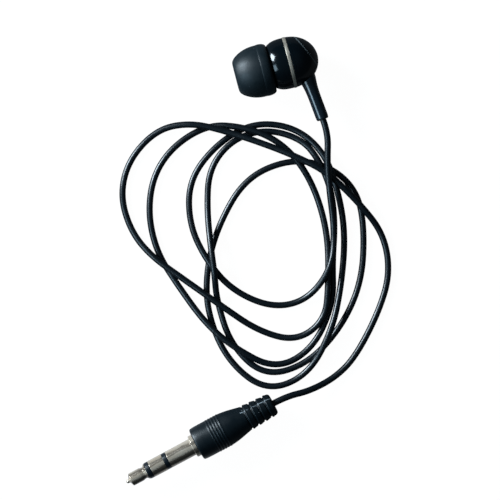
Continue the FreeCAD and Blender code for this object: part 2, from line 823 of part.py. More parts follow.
# The route of the loose cord, chosen by hand: five loose loops on the table,
# in the order from the earphone to the plug, with a height over each crossing.
CORD_ROUTE = [
    # out of the earphone and over the pile
    (5.0, -21.0, 4.9), (4.0, -26.5, 4.4), (3.0, -35.0, 2.1), (0.5, -42.0, 3.5),
    # first loop
    (-5.75, -47.0, 0.65), (-13.0, -46.75, 0.65), (-20.0, -41.25, 1.3), (-23.5, -34.0, 2.2),
    (-25.0, -26.0, 0.65), (-22.75, -17.5, 0.65), (-15.75, -12.0, 0.65), (-7.5, -9.5, 0.65),
    (0.5, -12.5, 1.0), (5.0, -19.0, 1.95),
    # second loop
    (5.75, -27.5, 1.95), (5.0, -36.0, 0.65), (1.75, -45.5, 0.8), (-2.5, -54.0, 3.3),
    (-9.5, -61.75, 0.65), (-18.5, -62.75, 0.65), (-24.5, -54.75, 0.65), (-26.0, -44.5, 0.65),
    (-24.0, -36.0, 0.65), (-19.5, -28.0, 0.65), (-11.75, -20.0, 0.65), (-2.0, -18.5, 0.65),
    (5.5, -22.0, 0.65),
    # third loop
    (9.5, -28.25, 0.65), (9.0, -36.0, 0.65), (5.75, -46.25, 0.65), (-0.5, -54.0, 0.65),
    (-9.0, -59.5, 0.65), (-18.0, -59.75, 0.65), (-23.0, -52.0, 0.65), (-23.5, -42.5, 0.65),
    (-22.5, -37.0, 3.6), (-22.0, -32.5, 3.3), (-20.75, -24.0, 0.65), (-18.25, -16.25, 0.65),
    (-12.25, -11.75, 0.65), (-5.0, -11.5, 0.65), (1.25, -15.25, 1.3), (3.5, -20.0, 2.1),
    # fourth loop
    (4.5, -26.5, 1.9), (3.5, -33.5, 0.65), (1.0, -41.0, 0.65), (-0.75, -48.75, 0.65),
    (-7.0, -56.75, 0.65), (-15.5, -59.0, 0.65), (-22.75, -52.25, 2.3), (-27.0, -46.0, 1.95),
    (-30.5, -37.0, 0.65), (-32.75, -30.0, 0.65), (-32.5, -22.0, 0.65), (-29.5, -14.75, 0.65),
    (-24.0, -10.0, 0.65), (-16.5, -7.75, 0.65), (-10.5, -9.5, 2.0), (-4.5, -13.25, 2.0),
    (-0.5, -19.0, 2.1),
    # fifth loop
    (1.5, -26.5, 0.65), (1.5, -35.5, 1.0), (-0.75, -44.5, 1.9), (-3.25, -51.75, 1.4),
    (-10.0, -54.5, 0.65), (-17.0, -50.5, 0.65), (-23.0, -43.5, 2.6), (-28.5, -37.0, 1.95),
    (-34.0, -30.5, 1.95), (-36.75, -24.5, 0.65), (-37.0, -17.0, 0.65), (-33.5, -10.5, 0.65),
    (-26.5, -6.0, 0.65), (-19.5, -6.5, 2.1), (-13.0, -10.0, 2.4), (-6.5, -14.25, 2.9),
    (-1.0, -18.25, 3.4),
    # out to the plug
    (4.5, -23.0, 3.6), (9.25, -30.75, 2.4), (12.5, -38.0, 0.65), (11.75, -46.0, 0.65),
    (7.5, -53.0, 0.65), (0.75, -60.5, 0.65), (-4.25, -63.5, 0.65), (-10.0, -64.75, 2.2),
]


def loose_cord():
    stem_end = amount("stem_end")
    plug_length = amount("plug_length")
    first_run = amount("first_run")
    points = [on_stem(stem_end), on_stem(stem_end + first_run)]
    points += [Vector(*point) for point in CORD_ROUTE]
    points += [on_plug(plug_length + first_run), on_plug(plug_length)]
    solid, radii, length = swept(points, amount("cord_radius"))
    print("cord length %.1f mm, %d points" % (length, len(points)))
    print("cord radii " + " ".join("%.1f" % radius for radius in radii))
    return feature("cord", solid)


def earphone_wires():
    """Two thin wires from the knot to the solder joints."""
    solids = []
    for side in (1, -1):
        joint = Vector(
            amount("ring_x + solder_back"), 0, amount("axis_z + " + str(side) + " * solder_offset"))
        knot = on_stem(amount("knot_at"))
        bend = joint + Vector(amount("lead_run"), 0, 0)
        end = Vector(
            knot.x - amount("lead_aside"),
            knot.y + amount("knot_strand + wire_gap"),
            knot.z + side * amount("knot_ring"),
        )
        solids.append(swept([joint, bend, end], amount("wire_radius"))[0])
    return feature("lead_wires", Part.makeCompound(solids))


def plug_wires():
    """Three thin wires from the end of the cord to the tags of the plug."""
    solids = []
    entry = amount("wire_entry")
    run = amount("plug_wire_run")
    for (start, offset), (fan, lift) in zip(tag_spots(), WIRE_FAN):
        aside = amount(offset)
        begin = amount(start + " + tag_length + bead_length")
        points = [
            on_plug(begin, aside),
            on_plug(begin + run, aside),
            on_plug(entry - run, fan, lift),
            on_plug(entry, fan, lift),
        ]
        solids.append(swept(points, amount("wire_radius"))[0])
    return feature("plug_wires", Part.makeCompound(solids))


def feature(name, shape):
    piece = doc.addObject("Part::Feature", name)
    piece.Label = name
    piece.Shape = shape
    piece.Placement = FreeCAD.Placement()
    return piece


def write_pieces(pieces):
    doc.recompute()
    for item in doc.Objects:
        faults = [state for state in item.State if state in ("Invalid", "Error")]
        assert not faults, item.Name + " failed: " + item.getStatusString()
    for piece in pieces:
        assert not piece.Shape.isNull(), piece.Label + " is empty"
        assert piece.Shape.isValid(), piece.Label + " is not valid"
    os.makedirs("parts", exist_ok=True)
    for piece in pieces:
        piece.Shape.exportStep(os.path.join("parts", piece.Label + ".step"))
    print(str(len(pieces)) + " pieces written")


pieces = shell_pieces()
pieces.append(ear_tip())
pieces += driver_pieces()
pieces += moving_coil()
pieces.append(solder_joints())
pieces += stem_pieces()
pieces += pin_pieces()
pieces.append(plug_shell())
pieces += plug_inside()
pieces += plug_tags()
pieces += [loose_cord(), earphone_wires(), plug_wires()]
write_pieces(pieces)
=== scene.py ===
import math

import bpy
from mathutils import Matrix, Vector


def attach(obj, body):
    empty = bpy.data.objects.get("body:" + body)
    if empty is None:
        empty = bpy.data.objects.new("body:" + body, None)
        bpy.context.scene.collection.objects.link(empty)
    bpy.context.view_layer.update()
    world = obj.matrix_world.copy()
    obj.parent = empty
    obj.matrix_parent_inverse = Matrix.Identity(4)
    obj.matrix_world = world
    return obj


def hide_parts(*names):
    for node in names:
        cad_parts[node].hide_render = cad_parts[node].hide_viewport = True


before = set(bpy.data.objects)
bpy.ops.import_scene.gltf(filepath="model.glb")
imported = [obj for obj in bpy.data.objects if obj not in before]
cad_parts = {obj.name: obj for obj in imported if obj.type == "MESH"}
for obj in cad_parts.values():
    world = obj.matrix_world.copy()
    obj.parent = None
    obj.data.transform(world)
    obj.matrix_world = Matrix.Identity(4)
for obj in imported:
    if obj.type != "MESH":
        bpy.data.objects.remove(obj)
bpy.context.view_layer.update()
print("frame loaded:", len(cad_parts), "nodes")

mm = 0.001
scene = bpy.context.scene

# Each turned piece is described along its own line: where the line starts, and which way it runs.
earphoneLine = {"start": Vector((2.325, 0, 5.27)) * mm, "turn": 0.0}
stemLine = {"start": Vector((4.925, 0, 5.27)) * mm, "turn": math.radians(-84)}
plugTurn = math.radians(13.6)
plugEnd = Vector((-17.6, -65.25, 3.52)) * mm
plugSize = {"length": 33.5, "bodyBack": 27.3}
plugAhead = Vector((math.cos(plugTurn), math.sin(plugTurn), 0))
plugLine = {"start": plugEnd - plugAhead * plugSize["length"] * mm, "turn": plugTurn}

# camera
cameraView = {"x": -14.43, "y": -34.29, "height": 500, "roll": -14.6, "lens": 178.2, "sensor": 36,
              "nearest": 10}
bpy.ops.object.camera_add(
    location=(cameraView["x"] * mm, cameraView["y"] * mm, cameraView["height"] * mm),
    rotation=(0, 0, math.radians(cameraView["roll"])))
camera = bpy.context.object
camera.name = "camera"
camera.data.sensor_width = cameraView["sensor"]
camera.data.lens = cameraView["lens"]
camera.data.clip_start = cameraView["nearest"] * mm
scene.camera = camera
print("camera placed")

# the cord: one smooth curve from the stem to the plug
cordSize = {"radius": 0.65, "length": 0.696, "roundness": 5, "smoothness": 10}
cordRoute = [
    (6.263, -12.73, 5.27), (6.577, -15.713, 5.27),
    # down from the stem and along the inside of the loops
    (5.0, -21.0, 4.9), (4.0, -26.5, 4.4), (3.0, -35.0, 2.1), (0.5, -42.0, 3.5),
    # first loop
    (-5.75, -47.0, 0.65), (-13.0, -46.75, 0.65), (-20.0, -41.25, 1.3), (-23.5, -34.0, 2.2),
    (-25.0, -26.0, 0.65), (-22.75, -17.5, 0.65), (-15.75, -12.0, 0.65), (-7.5, -9.5, 0.65),
    (0.5, -12.5, 1.0), (5.0, -19.0, 1.95),
    # second loop
    (5.75, -27.5, 1.95), (5.0, -36.0, 0.65), (1.75, -45.5, 0.8), (-2.5, -54.0, 3.3),
    (-9.5, -61.75, 0.65), (-18.5, -62.75, 0.65), (-24.5, -54.75, 0.65), (-26.0, -44.5, 0.65),
    (-24.0, -36.0, 0.65), (-19.5, -28.0, 0.65), (-11.75, -20.0, 0.65), (-2.0, -18.5, 0.65),
    (5.5, -22.0, 0.65),
    # third loop
    (9.5, -28.25, 0.65), (9.0, -36.0, 0.65), (5.75, -46.25, 0.65), (-0.5, -54.0, 0.65),
    (-9.0, -59.5, 0.65), (-18.0, -59.75, 0.65), (-23.0, -52.0, 0.65), (-23.5, -42.5, 0.65),
    (-22.5, -37.0, 3.6), (-22.0, -32.5, 3.3), (-20.75, -24.0, 0.65), (-18.25, -16.25, 0.65),
    (-12.25, -11.75, 0.65), (-5.0, -11.5, 0.65), (1.25, -15.25, 1.3), (3.5, -20.0, 2.1),
    # fourth loop
    (4.5, -26.5, 1.9), (3.5, -33.5, 0.65), (1.0, -41.0, 0.65), (-0.75, -48.75, 0.65),
    (-7.0, -56.75, 0.65), (-15.5, -59.0, 0.65), (-22.75, -52.25, 2.3), (-27.0, -46.0, 1.95),
    (-30.5, -37.0, 0.65), (-32.75, -30.0, 0.65), (-32.5, -22.0, 0.65), (-29.5, -14.75, 0.65),
    (-24.0, -10.0, 0.65), (-16.5, -7.75, 0.65), (-10.5, -9.5, 2.0), (-4.5, -13.25, 2.0),
    (-0.5, -19.0, 2.1),
    # fifth loop
    (1.5, -26.5, 0.65), (1.5, -35.5, 1.0), (-0.75, -44.5, 1.9), (-3.25, -51.75, 1.4),
    (-10.0, -54.5, 0.65), (-17.0, -50.5, 0.65), (-23.0, -43.5, 2.6), (-28.5, -37.0, 1.95),
    (-34.0, -30.5, 1.95), (-36.75, -24.5, 0.65), (-37.0, -17.0, 0.65), (-33.5, -10.5, 0.65),
    (-26.5, -6.0, 0.65), (-19.5, -6.5, 2.1), (-13.0, -10.0, 2.4), (-6.5, -14.25, 2.9),
    (-1.0, -18.25, 3.4),
    # over the other loops and round to the plug
    (4.5, -23.0, 3.6), (9.25, -30.75, 2.4), (12.5, -38.0, 0.65), (11.75, -46.0, 0.65),
    (7.5, -53.0, 0.65), (0.75, -60.5, 0.65), (-4.25, -63.5, 0.65), (-10.0, -64.75, 2.2),
    (-14.684, -64.545, 3.52), (-17.6, -65.25, 3.52),
]
cordCurve = bpy.data.curves.new("looseCord", "CURVE")
cordCurve.dimensions = "3D"
cordSpline = cordCurve.splines.new("NURBS")
cordSpline.points.add(len(cordRoute) - 1)
for point, place in zip(cordSpline.points, cordRoute):
    point.co = (*(Vector(place) * mm), 1)
cordSpline.order_u = 3
cordSpline.use_endpoint_u = True
cordSpline.resolution_u = cordSize["smoothness"]
cordSpline.use_smooth = True
cordCurve.bevel_depth = cordSize["radius"] * mm
cordCurve.bevel_resolution = cordSize["roundness"]
cordCurve.use_fill_caps = True
looseCord = bpy.data.objects.new("looseCord", cordCurve)
scene.collection.objects.link(looseCord)
print("cord laid:", len(cordRoute), "points")

# sizes of the rear shell, which the painted highlight line along its seam follows too
rearSize = {"centre": 0.4, "reach": 5.75, "radius": 5.12, "wall": 0.4, "groove": 1.38,
            "seam": 4.54, "tilt": 24.4, "gap": 0.1, "lineFrom": 0.06, "lineTo": 0.12,
            "edge": 0.11, "edgeSteps": 3, "edgeAngle": 50}

# modelling helpers

def pickNothing():
    if bpy.context.object and bpy.context.object.mode != "OBJECT":
        bpy.ops.object.mode_set(mode="OBJECT")
    bpy.ops.object.select_all(action="DESELECT")


def spot(line, at):
    ahead = Vector((math.cos(line["turn"]), math.sin(line["turn"]), 0))
    return line["start"] + ahead * at * mm


closeTo = {"pick": 0.004, "merge": 0.001}  # how near counts as the same place


def pickRing(piece, line, at, radius):
    # picks the ring of edges at one station, in edit mode
    bpy.ops.object.mode_set(mode="OBJECT")
    centre = piece.matrix_world.inverted() @ spot(line, at)
    ahead = (piece.matrix_world.to_3x3().inverted() @ (spot(line, 1) - spot(line, 0))).normalized()
    for face in piece.data.polygons:
        face.select = False
    for edge in piece.data.edges:
        edge.select = False
    for vertex in piece.data.vertices:
        away = vertex.co - centre
        depth = away.dot(ahead)
        reach = (away - ahead * depth).length
        near = closeTo["pick"] * mm
        vertex.select = abs(depth) < near and abs(reach - radius * mm) < near
    bpy.ops.object.mode_set(mode="EDIT")


def turnPiece(name, line, stations, sides=48, closed=False, levels=2):
    # extrudes a circle from station to station; a third number softens that ring's corner
    pickNothing()
    grow = 3 / (2 + math.cos(2 * math.pi / sides)) if levels else 1
    points = [station for station in stations if station[1] > 0]
    at, radius = points[0][0], points[0][1] * grow
    bpy.ops.mesh.primitive_circle_add(
        vertices=sides, radius=radius * mm, fill_type="NOTHING",
        location=spot(line, at), rotation=(0, math.pi / 2, line["turn"]))
    piece = bpy.context.object
    piece.name = piece.data.name = name
    bpy.ops.object.mode_set(mode="EDIT")
    bpy.ops.mesh.select_mode(type="VERT")
    bpy.ops.mesh.select_all(action="SELECT")
    for station in points[1:]:
        step = spot(line, station[0]) - spot(line, at)
        bpy.ops.mesh.extrude_region_move(TRANSFORM_OT_translate={"value": step})
        size = station[1] * grow / radius
        bpy.ops.transform.resize(value=(size, size, size), center_override=spot(line, station[0]))
        at, radius = station[0], station[1] * grow
    for end, ring in ((stations[0], points[0]), (stations[-1], points[-1])):
        if end[1] == 0:
            pickRing(piece, line, ring[0], ring[1] * grow)
            step = spot(line, end[0]) - spot(line, ring[0])
            bpy.ops.mesh.extrude_region_move(TRANSFORM_OT_translate={"value": step})
            bpy.ops.mesh.merge(type="CENTER")
    if closed:
        pickRing(piece, line, points[-1][0], points[-1][1] * grow)
        step = spot(line, points[0][0]) - spot(line, points[-1][0])
        bpy.ops.mesh.extrude_region_move(TRANSFORM_OT_translate={"value": step})
        size = points[0][1] / points[-1][1]
        bpy.ops.transform.resize(value=(size, size, size), center_override=spot(line, points[0][0]))
    bpy.ops.mesh.select_all(action="SELECT")
    bpy.ops.mesh.remove_doubles(threshold=closeTo["merge"] * mm)
    bpy.ops.mesh.normals_make_consistent(inside=False)
    for station in points:
        if len(station) > 2:
            pickRing(piece, line, station[0], station[1] * grow)
            bpy.ops.mesh.bevel(offset=station[2] * mm, segments=2, affect="EDGES")
    bpy.ops.object.mode_set(mode="OBJECT")
    settle(piece)
    if levels:
        useModifier(piece, "SUBSURF", levels=levels, render_levels=levels)
    return piece


def settle(piece):
    # puts the piece's place into its mesh
    pickNothing()
    piece.select_set(True)
    bpy.context.view_layer.objects.active = piece
    bpy.ops.object.transform_apply(location=True, rotation=True, scale=True)


def useModifier(piece, kind, **settings):
    pickNothing()
    piece.select_set(True)
    bpy.context.view_layer.objects.active = piece
    modifier = piece.modifiers.new(kind.lower(), kind)
    for key, value in settings.items():
        setattr(modifier, key, value)
    bpy.ops.object.modifier_apply(modifier=modifier.name)


def smooth(piece, angle=40):
    pickNothing()
    piece.select_set(True)
    bpy.context.view_layer.objects.active = piece
    bpy.ops.object.shade_smooth_by_angle(angle=math.radians(angle))


def finishPiece(piece, material, body, slot, *nodes):
    piece.data.materials.clear()
    piece.data.materials.append(material)
    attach(piece, body)
    if nodes:
        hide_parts(*nodes)
    print("made", piece.name)
    return piece


# shader groups, each built once

def newGroup(name, inputs, outputs):
    tree = bpy.data.node_groups.new(name, "ShaderNodeTree")
    for label, kind, value in inputs:
        socket = tree.interface.new_socket(name=label, in_out="INPUT", socket_type=kind)
        if value is not None:
            socket.default_value = value
    for label, kind in outputs:
        tree.interface.new_socket(name=label, in_out="OUTPUT", socket_type=kind)
    return tree, tree.nodes.new("NodeGroupInput"), tree.nodes.new("NodeGroupOutput")


def addNode(tree, kind, settings=(), values=(), links=()):
    # a node with its settings, its socket values and what feeds it
    node = tree.nodes.new("ShaderNode" + kind)
    for key, value in dict(settings).items():
        setattr(node, key, value)
    for key, value in dict(values).items():
        node.inputs[key].default_value = value
    for key, source in dict(links).items():
        tree.links.new(source, node.inputs[key])
    return node


floatKind, vectorKind = "NodeSocketFloat", "NodeSocketVector"


def grainGroup():
    # two sizes of noise, one value between Low and High and one height
    tree, given, result = newGroup("fineGrain", [
        ("Vector", vectorKind, None), ("Scale", floatKind, 3000.0),
        ("Low", floatKind, 0.3), ("High", floatKind, 0.5)],
        [("Value", floatKind), ("Height", floatKind)])
    coarse = addNode(tree, "TexNoise", values={"Detail": 5.0, "Roughness": 0.6},
                     links={"Vector": given.outputs["Vector"], "Scale": given.outputs["Scale"]})
    wide = addNode(tree, "Math", {"operation": "MULTIPLY"}, {1: 0.13}, {0: given.outputs["Scale"]})
    patches = addNode(tree, "TexNoise", values={"Detail": 2.0},
                      links={"Vector": given.outputs["Vector"], "Scale": wide.outputs[0]})
    both = addNode(tree, "Math", {"operation": "MULTIPLY_ADD"}, {1: 0.5},
                   {0: coarse.outputs["Fac"]})
    tree.links.new(patches.outputs["Fac"], both.inputs[2])
    spread = addNode(tree, "MapRange", values={"From Min": 0.5, "From Max": 1.0},
                     links={"Value": both.outputs[0], "To Min": given.outputs["Low"],
                            "To Max": given.outputs["High"]})
    tree.links.new(spread.outputs["Result"], result.inputs["Value"])
    tree.links.new(coarse.outputs["Fac"], result.inputs["Height"])
    return tree


def dustGroup():
    # scattered round specks of lint and dust
    tree, given, result = newGroup("dustSpecks", [
        ("Vector", vectorKind, None), ("Scale", floatKind, 900.0),
        ("Size", floatKind, 0.12), ("Share", floatKind, 0.15)], [("Mask", floatKind)])
    cells = addNode(tree, "TexVoronoi", {"feature": "F1"}, {"Randomness": 1.0},
                    {"Vector": given.outputs["Vector"], "Scale": given.outputs["Scale"]})
    chance = addNode(tree, "SeparateColor", links={"Color": cells.outputs["Color"]})
    chosen = addNode(tree, "Math", {"operation": "LESS_THAN"},
                     links={0: chance.outputs["Red"], 1: given.outputs["Share"]})
    size = addNode(tree, "Math", {"operation": "MULTIPLY"},
                   links={0: chance.outputs["Green"], 1: given.outputs["Size"]})
    near = addNode(tree, "MapRange", values={"From Min": 0.0, "To Min": 1.0, "To Max": 0.0},
                   links={"Value": cells.outputs["Distance"], "From Max": size.outputs[0]})
    mask = addNode(tree, "Math", {"operation": "MULTIPLY"},
                   links={0: near.outputs["Result"], 1: chosen.outputs[0]})
    tree.links.new(mask.outputs[0], result.inputs["Mask"])
    return tree


def streakGroup():
    # fine lines drawn out along the X axis of the given vector
    tree, given, result = newGroup("drawnStreaks", [
        ("Vector", vectorKind, None), ("Scale", floatKind, 2500.0), ("Stretch", floatKind, 0.05),
        ("Low", floatKind, 0.2), ("High", floatKind, 0.4)],
        [("Value", floatKind), ("Height", floatKind)])
    stretch = addNode(tree, "CombineXYZ", values={"Y": 1.0, "Z": 1.0},
                      links={"X": given.outputs["Stretch"]})
    drawn = addNode(tree, "VectorMath", {"operation": "MULTIPLY"},
                    links={0: given.outputs["Vector"], 1: stretch.outputs[0]})
    lines = addNode(tree, "TexNoise", values={"Detail": 4.0, "Roughness": 0.7},
                    links={"Vector": drawn.outputs[0], "Scale": given.outputs["Scale"]})
    spread = addNode(tree, "MapRange", values={"From Min": 0.35, "From Max": 0.65},
                     links={"Value": lines.outputs["Fac"], "To Min": given.outputs["Low"],
                            "To Max": given.outputs["High"]})
    tree.links.new(spread.outputs["Result"], result.inputs["Value"])
    tree.links.new(lines.outputs["Fac"], result.inputs["Height"])
    return tree


def wearGroup():
    # worn, lighter edges, broken up by noise
    tree, given, result = newGroup("edgeWear", [
        ("Vector", vectorKind, None), ("Start", floatKind, 0.53), ("End", floatKind, 0.62),
        ("Scale", floatKind, 1500.0)], [("Mask", floatKind)])
    shape = addNode(tree, "NewGeometry")
    edge = addNode(tree, "MapRange", links={
        "Value": shape.outputs["Pointiness"], "From Min": given.outputs["Start"],
        "From Max": given.outputs["End"]})
    noise = addNode(tree, "TexNoise", values={"Detail": 3.0}, links={
        "Vector": given.outputs["Vector"], "Scale": given.outputs["Scale"]})
    broken = addNode(tree, "MapRange", values={"From Min": 0.35, "From Max": 0.6},
                     links={"Value": noise.outputs["Fac"]})
    mask = addNode(tree, "Math", {"operation": "MULTIPLY"},
                   links={0: edge.outputs["Result"], 1: broken.outputs["Result"]})
    tree.links.new(mask.outputs[0], result.inputs["Mask"])
    return tree


def seamHighlightGroup():
    # a painted highlight: a thin pale line along the slanted seam of the rear shell
    tree, given, result = newGroup("seamHighlightLine", [("Vector", vectorKind, None)], [("Mask", floatKind)])
    tilt = math.radians(rearSize["tilt"])
    middle = spot(earphoneLine, rearSize["seam"] + rearSize["gap"] / 2)
    across = Vector((math.cos(tilt), math.sin(tilt), 0))
    depth = addNode(tree, "VectorMath", {"operation": "DOT_PRODUCT"}, {1: across},
                    {0: given.outputs["Vector"]})
    away = addNode(tree, "Math", {"operation": "SUBTRACT"}, {1: middle.dot(across)},
                   {0: depth.outputs["Value"]})
    size = addNode(tree, "Math", {"operation": "ABSOLUTE"}, links={0: away.outputs[0]})
    mask = addNode(tree, "MapRange", values={"From Min": rearSize["lineFrom"] * mm,
                                             "From Max": rearSize["lineTo"] * mm,
                                             "To Min": 1.0, "To Max": 0.0},
                   links={"Value": size.outputs[0]})
    tree.links.new(mask.outputs["Result"], result.inputs["Mask"])
    return tree


def reflectionBandGroup():
    # painted reflection: dark brown bands along the pin, by the place across it, with ragged borders
    tree, given, result = newGroup("reflectionBands", [("Vector", vectorKind, None),
                                                    ("Radius", floatKind, 1.75 * mm)],
                                   [("Mask", floatKind)])
    parts = addNode(tree, "SeparateXYZ", links={"Vector": given.outputs["Vector"]})
    across = addNode(tree, "Math", {"operation": "DIVIDE"},
                     links={0: parts.outputs["Y"], 1: given.outputs["Radius"]})
    stretched = addNode(tree, "VectorMath", {"operation": "MULTIPLY"}, {1: (0.35, 1.0, 1.0)},
                        {0: given.outputs["Vector"]})
    noise = addNode(tree, "TexNoise", values={"Scale": 1500.0, "Detail": 3.0},
                    links={"Vector": stretched.outputs[0]})
    ragged = addNode(tree, "Math", {"operation": "MULTIPLY_ADD"}, {1: 0.35},
                     {0: noise.outputs["Fac"], 2: across.outputs[0]})
    bands = addNode(tree, "MapRange", values={"From Min": -0.825, "From Max": 1.175},
                    links={"Value": ragged.outputs[0]})
    ramp = addNode(tree, "ValToRGB", links={"Fac": bands.outputs["Result"]})
    stops = ramp.color_ramp.elements
    stops[0].position, stops[0].color = 0.0, (0.05, 0.05, 0.05, 1)
    stops[1].position, stops[1].color = 1.0, (0.0, 0.0, 0.0, 1)
    for position, value in ((0.09, 0.1), (0.16, 0.85), (0.36, 0.8), (0.45, 0.1), (0.61, 0.0),
                            (0.67, 0.6), (0.79, 0.7), (0.87, 0.05)):
        stop = stops.new(position)
        stop.color = (value, value, value, 1)
    tree.links.new(ramp.outputs["Color"], result.inputs["Mask"])
    return tree


fineGrain, dustSpecks, drawnStreaks, edgeWear = grainGroup(), dustGroup(), streakGroup(), wearGroup()
seamHighlightLine, reflectionBands = seamHighlightGroup(), reflectionBandGroup()


# materials

def makeMaterial(name, look):
    # one finish: its colours, its grain, and the dust, streaks or wear that it shows
    material = bpy.data.materials.new(name)
    material.use_nodes = True
    tree = material.node_tree
    tree.nodes.clear()
    result = tree.nodes.new("ShaderNodeOutputMaterial")
    shader = addNode(tree, "BsdfPrincipled")
    tree.links.new(shader.outputs[0], result.inputs["Surface"])
    for key, value in look.get("shader", {}).items():
        shader.inputs[key].default_value = value
    place = addNode(tree, "TexCoord").outputs["Object"]
    if "turn" in look or "shift" in look:
        mapping = addNode(tree, "Mapping", links={"Vector": place})
        mapping.vector_type = "TEXTURE"
        mapping.inputs["Location"].default_value = look.get("shift", (0, 0, 0))
        mapping.inputs["Rotation"].default_value = (0, 0, look.get("turn", 0))
        place = mapping.outputs[0]

    def effect(group, values):
        node = tree.nodes.new("ShaderNodeGroup")
        node.node_tree = group
        tree.links.new(place, node.inputs["Vector"])
        for key, value in values.items():
            node.inputs[key].default_value = value
        return node

    def mixColour(factor, first, second):
        mix = addNode(tree, "Mix", {"data_type": "RGBA"})
        tree.links.new(factor, mix.inputs["Factor"])
        for socket, value in ((mix.inputs["A"], first), (mix.inputs["B"], second)):
            if isinstance(value, tuple):
                socket.default_value = (*value, 1)
            else:
                tree.links.new(value, socket)
        return mix.outputs["Result"]

    grain = effect(drawnStreaks if "stretch" in look else fineGrain, {
        "Scale": look["grainScale"], "Low": look["rough"][0], "High": look["rough"][1]})
    if "stretch" in look:
        grain.inputs["Stretch"].default_value = look["stretch"]
    tree.links.new(grain.outputs["Value"], shader.inputs["Roughness"])
    blotch = effect(fineGrain, {"Scale": look.get("patchScale", 900.0), "Low": 0.0, "High": 1.0})
    colour = mixColour(blotch.outputs["Value"], look["colour"], look["second"])
    if "streakColour" in look:
        streaks = effect(drawnStreaks, {"Scale": look["streakScale"], "Stretch": 0.08,
                                        "Low": 0.0, "High": 1.0})
        colour = mixColour(streaks.outputs["Value"], look["streakColour"], colour)
    # painted reflection: dark brown bands along the pin, mixed into its colour
    if "reflectionBandColour" in look:
        reflectionBandNode = effect(reflectionBands, {})
        colour = mixColour(reflectionBandNode.outputs["Mask"], colour, look["reflectionBandColour"])
    if "wearColour" in look:
        worn = effect(edgeWear, look.get("wear", {}))
        colour = mixColour(worn.outputs["Mask"], colour, look["wearColour"])
    # painted highlight: a pale line mixed into the colour along the seam of the rear shell
    if "seamHighlightColour" in look:
        held = tree.nodes.new("ShaderNodeGroup")
        held.node_tree = seamHighlightLine
        tree.links.new(place, held.inputs["Vector"])
        colour = mixColour(held.outputs["Mask"], colour, look["seamHighlightColour"])
    if "dustColour" in look:
        dust = effect(dustSpecks, look.get("dust", {}))
        colour = mixColour(dust.outputs["Mask"], colour, look["dustColour"])
    tree.links.new(colour, shader.inputs["Base Color"])
    bump = addNode(tree, "Bump", values={"Strength": look.get("bump", 0.15),
                                         "Distance": look.get("bumpDepth", 0.02) * mm},
                   links={"Height": grain.outputs["Height"]})
    tree.links.new(bump.outputs[0], shader.inputs["Normal"])
    return material


